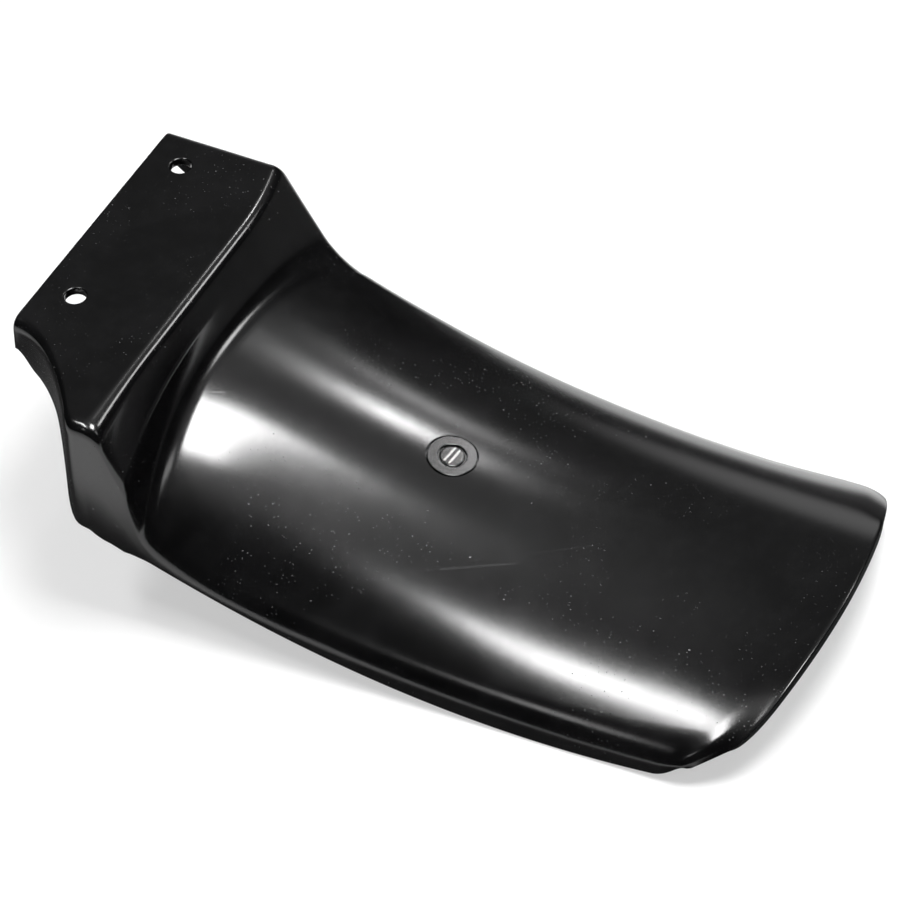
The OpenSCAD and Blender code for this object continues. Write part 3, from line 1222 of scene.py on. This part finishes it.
@dataclass
class MudFlap:
    """The whole moulded piece: wall, screw holes and mark."""

    surface: FlapSurface = field(default_factory=FlapSurface)
    grid: GridSizes = field(default_factory=GridSizes)
    mark: MouldingMark = field(default_factory=MouldingMark)
    edge_round: float = 0.5
    hole_round: float = 0.45
    hole_steps: int = 4
    hole_sides: int = 96
    hole_clear: float = 2.0
    sharp_from: float = 38.0
    finish: BlackPlastic = field(default_factory=BlackPlastic)

    def rim_rings(self, skin: Points, down: Points, order: Points) -> list[Points]:
        """Works out the rings of the rounded rim that joins both faces.

        Args:
            skin: The outer skin by row and column.
            down: The unit normals, turned inward.
            order: Row and column of each point round the rim.

        Returns:
            The rings from the outer face to the inner face.
        """
        outward = np.zeros_like(skin)
        for edge, inside in ((0, 1), (-1, -2)):
            outward[edge] += unit(skin[edge] - skin[inside])
            outward[:, edge] += unit(skin[:, edge] - skin[:, inside])
        r, c = order[:, 0], order[:, 1]
        edge, out, sink = skin[r, c], outward[r, c], down[r, c]
        wall, cells = self.surface.wall, self.grid.edge_cells
        angles = [math.pi / 2 * k / cells for k in range(cells + 1)]
        rings = []
        for base, way, turns in ((edge, -1, angles), (edge + wall * sink, 1, angles[::-1])):
            for a in turns:
                inset = out * (1 - math.sin(a)) + way * sink * (1 - math.cos(a))
                rings.append(base - self.edge_round * inset)
        return rings

    def wall_mesh(self) -> Mesh:
        """Makes the wall as one closed skin with a rounded rim.

        Returns:
            The mesh.
        """
        skin = self.surface.skin(self.grid)
        rows, cols = skin.shape[:2]
        along, over = np.gradient(skin, axis=(0, 1))
        down = -unit(np.cross(over, along))
        order = np.array(
            [(0, c) for c in range(cols)]
            + [(r, cols - 1) for r in range(1, rows)]
            + [(rows - 1, c) for c in range(cols - 2, -1, -1)]
            + [(r, 0) for r in range(rows - 2, 0, -1)]
        )
        rings = self.rim_rings(skin, down, order)
        inner = skin + self.surface.wall * down
        r, c = order[:, 0], order[:, 1]
        skin[r, c], inner[r, c] = rings[0], rings[-1]
        points = np.concatenate([skin.reshape(-1, 3), inner.reshape(-1, 3), *rings[1:-1]])

        count, round_count = rows * cols, len(order)
        cell = np.array([(i * cols + j) for i in range(rows - 1) for j in range(cols - 1)])
        outer_faces = np.stack([cell, cell + 1, cell + cols + 1, cell + cols], -1)
        faces = outer_faces.tolist() + (outer_faces[:, ::-1] + count).tolist()
        edge = r * cols + c
        loops = [edge]
        for k in range(len(rings) - 2):
            loops.append(2 * count + k * round_count + np.arange(round_count))
        loops.append(edge + count)
        for first, second in zip(loops, loops[1:]):
            strip = np.stack([first, np.roll(first, -1), np.roll(second, -1), second], -1)
            faces += strip.tolist()
        return mesh_of("flap_wall", points, faces)

    def hole_cutter(self) -> Mesh:
        """Makes the body that cuts a screw hole with softened edges.

        Returns:
            The body's mesh.
        """
        r, soft, wall = self.surface.hole_d / 2, self.hole_round, self.surface.wall
        angles = np.linspace(0, math.pi / 2, self.hole_steps)
        rise = [(r + soft * (1 - math.sin(a)), -soft * (1 - math.cos(a))) for a in angles]
        sink = [(radius, -wall - height) for radius, height in reversed(rise)]
        top, low = self.hole_clear, -wall - self.hole_clear
        profile = [(0, top), (r + soft, top), *rise, *sink, (r + soft, low), (0, low)]
        return turned("hole_cutter", profile, self.hole_sides)

    def cut(self, piece: bpy.types.Object, cutter: Mesh, place: Matrix) -> None:
        """Cuts one body out of the piece.

        Args:
            piece: The piece.
            cutter: The body's mesh.
            place: Where the body stands.
        """
        cutter.transform(place)
        tool = new_piece("cutter", cutter)
        change = piece.modifiers.new("cut", "BOOLEAN")
        change.operation, change.solver, change.object = "DIFFERENCE", "EXACT", tool
        graph = bpy.context.evaluated_depsgraph_get()
        mesh = bpy.data.meshes.new_from_object(piece.evaluated_get(graph))
        piece.modifiers.clear()
        piece.data = mesh
        bpy.data.objects.remove(tool)
        bpy.data.meshes.remove(cutter)

    def build(self) -> bpy.types.Object:
        """Builds and dresses the flap.

        Returns:
            The finished piece.
        """
        piece = new_piece("mud_flap_skin", self.wall_mesh())
        for side in (-1, 1):
            place = Matrix.Translation(Vector((side * self.surface.hole_gap / 2, 0, 0)) * MM)
            self.cut(piece, self.hole_cutter(), place)
        stand = self.mark.stand(self.surface)
        self.cut(piece, self.mark.pocket_cutter(), stand)
        disc = new_piece("mark", self.mark.disc())
        self.cut(disc, self.mark.notch_cutter(), Matrix.Identity(4))
        work = bmesh.new()
        work.from_mesh(piece.data)
        for mesh in (disc.data, self.mark.bars()):
            mesh.transform(stand)
            work.from_mesh(mesh)
        bpy.data.objects.remove(disc)
        whole = bpy.data.meshes.new("mud_flap_skin")
        work.to_mesh(whole)
        work.free()
        whole.shade_smooth()
        whole.set_sharp_from_angle(angle=math.radians(self.sharp_from))
        piece.data = whole
        whole.materials.clear()
        whole.materials.append(self.finish.build())
        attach(piece, "root")
        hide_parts("mud_flap")
        return piece


# --------------------------------------------------------------------- studio
@dataclass(frozen=True)
class Softbox:
    """One soft light, as the flap sees it."""

    name: str
    toward: Triple
    radiance: float
    width: float = 0.2
    height: float = 0.2
    distance: float = 1.1
    aim: Triple = (0.016, 0.12, -0.04)
    roll: float = 0.0

    def build(self) -> None:
        """Hangs the light."""
        lamp = bpy.data.lights.new(self.name, "AREA")
        lamp.shape = "RECTANGLE"
        lamp.size, lamp.size_y = self.width, self.height
        lamp.energy = self.radiance * math.pi * self.width * self.height
        light = bpy.data.objects.new(self.name, lamp)
        way = Vector(self.toward).normalized()
        place = Matrix.Translation(Vector(self.aim) + way * self.distance)
        turn = way.to_track_quat("Z", "Y").to_matrix().to_4x4()
        light.matrix_world = place @ turn @ spin("Z", self.roll)
        bpy.context.scene.collection.objects.link(light)


@dataclass(frozen=True)
class Glow:
    """A broad dim brightening of the studio's ceiling, as gloss shows it."""

    toward: Triple
    edge: float
    full: float
    level: float

    def signal(self, way: Direction) -> Signal:
        """Gives its brightness in a direction."""
        middle = tuple(Vector(self.toward).normalized())
        return way.dot(middle).over(self.edge, self.full) * self.level


@dataclass
class Studio:
    """Floor, lights, world and camera."""

    camera_place: Triple = (713.522, 513.627, 794.444)
    camera_turn: Triple = (43.951900, 2.488463, 116.789502)
    lens: float = 148.0
    sensor: float = 36.0
    clip: Pair = (0.05, 50.0)
    nose_down: float = 4.5
    floor_half: float = 4.0
    floor_gap: float = 0.0002
    floor: PaleFloor = field(default_factory=PaleFloor)
    dim_sky: float = 0.018
    sky_light: float = 0.15
    glows: tuple[Glow, ...] = (
        Glow((-0.22, 0.2, 0.955), 0.72, 0.96, 0.38),
        Glow((-0.66, -0.33, 0.67), 0.80, 0.96, 0.11),
        Glow((0.15, 0.12, 0.98), 0.955, 0.995, 0.50),
        Glow((-0.93, -0.34, 0.14), 0.988, 0.9985, 0.80),
    )
    lights: tuple[Softbox, ...] = (
        Softbox("foot_box", (-0.072, 0.195, 0.975), 32.0, 0.45, 0.345),
        Softbox("shoulder_box", (0.223, -0.346, 0.91), 37.0, 0.43, 0.11, roll=11.0),
        Softbox("far_box", (-0.650, -0.070, 0.757), 80.0, 0.18, 0.26, distance=4.4),
        Softbox("wedge_box", (-0.775, -0.10, 0.625), 8.5, 0.34, 0.28, distance=4.4),
        Softbox("crease_box", (-0.60, 0.44, 0.66), 13.0, 0.20, 0.20),
        Softbox("step_box", (0.05, 0.70, 0.71), 4.0, 0.16, 0.30),
        Softbox("near_box", (0.71, -0.31, 0.63), 6.0, 0.11, 0.11),
    )

    def hang_camera(self) -> None:
        """Sets up the camera at the photograph's viewing angle."""
        data = bpy.data.cameras.new("camera")
        data.sensor_width, data.sensor_fit, data.lens = self.sensor, "HORIZONTAL", self.lens
        data.clip_start, data.clip_end = self.clip
        camera = bpy.data.objects.new("camera", data)
        camera.location = Vector(self.camera_place) * MM
        camera.rotation_euler = Euler([math.radians(a) for a in self.camera_turn], "XYZ")
        bpy.context.scene.collection.objects.link(camera)
        bpy.context.scene.camera = camera

    def lay_floor(self, piece: bpy.types.Object) -> None:
        """Lays the floor so that the flap just touches it.

        Args:
            piece: The flap.
        """
        slope = math.tan(math.radians(self.nose_down))
        spots = np.empty(len(piece.data.vertices) * 3)
        piece.data.vertices.foreach_get("co", spots)
        spots = spots.reshape(-1, 3)
        level = float((spots[:, 2] - slope * spots[:, 1]).min()) - self.floor_gap
        half = self.floor_half
        plan = ((-half, -half), (half, -half), (half, half), (-half, half))
        corners = np.array([(x, y, level + slope * y) for x, y in plan])
        floor = new_piece("floor", mesh_of("floor", corners / MM, [(0, 1, 2, 3)]))
        if floor.data.polygons[0].normal.z < 0:
            floor.data.flip_normals()
        floor.data.materials.append(self.floor.build())

    def set_world(self) -> None:
        """Sets a white background with a dim studio above it."""
        world = bpy.data.worlds.new("studio")
        bpy.context.scene.world = world
        sheet = NodeSheet(world)
        seen, gloss = sheet.rays()
        way = Direction(sheet, sheet.add("ShaderNodeTexCoord").outputs["Generated"])
        ceiling: Any = self.dim_sky
        for glow in self.glows:
            ceiling = glow.signal(way) + ceiling
        dim = gloss * ceiling + (1.0 - gloss) * self.sky_light
        strength = seen + (1.0 - seen) * dim
        inputs = {"Color": (1.0, 1.0, 1.0, 1.0), "Strength": strength}
        shine = sheet.add("ShaderNodeBackground", None, inputs)
        sheet.add("ShaderNodeOutputWorld", None, {"Surface": shine.outputs[0]})

    def build(self, piece: bpy.types.Object) -> None:
        """Builds the studio round the flap.

        Args:
            piece: The flap.
        """
        scene = bpy.context.scene
        scene.view_settings.view_transform = "Standard"
        self.hang_camera()
        self.lay_floor(piece)
        self.set_world()
        for light in self.lights:
            light.build()


def main() -> None:
    """Builds the flap and its studio."""
    logging.basicConfig(level=logging.INFO, format="%(message)s")
    flap = MudFlap().build()
    LOG.info("mud flap: %d points, %d faces", len(flap.data.vertices), len(flap.data.polygons))
    Studio().build(flap)
    LOG.info("studio ready")


if __name__ == "__main__":
    main()
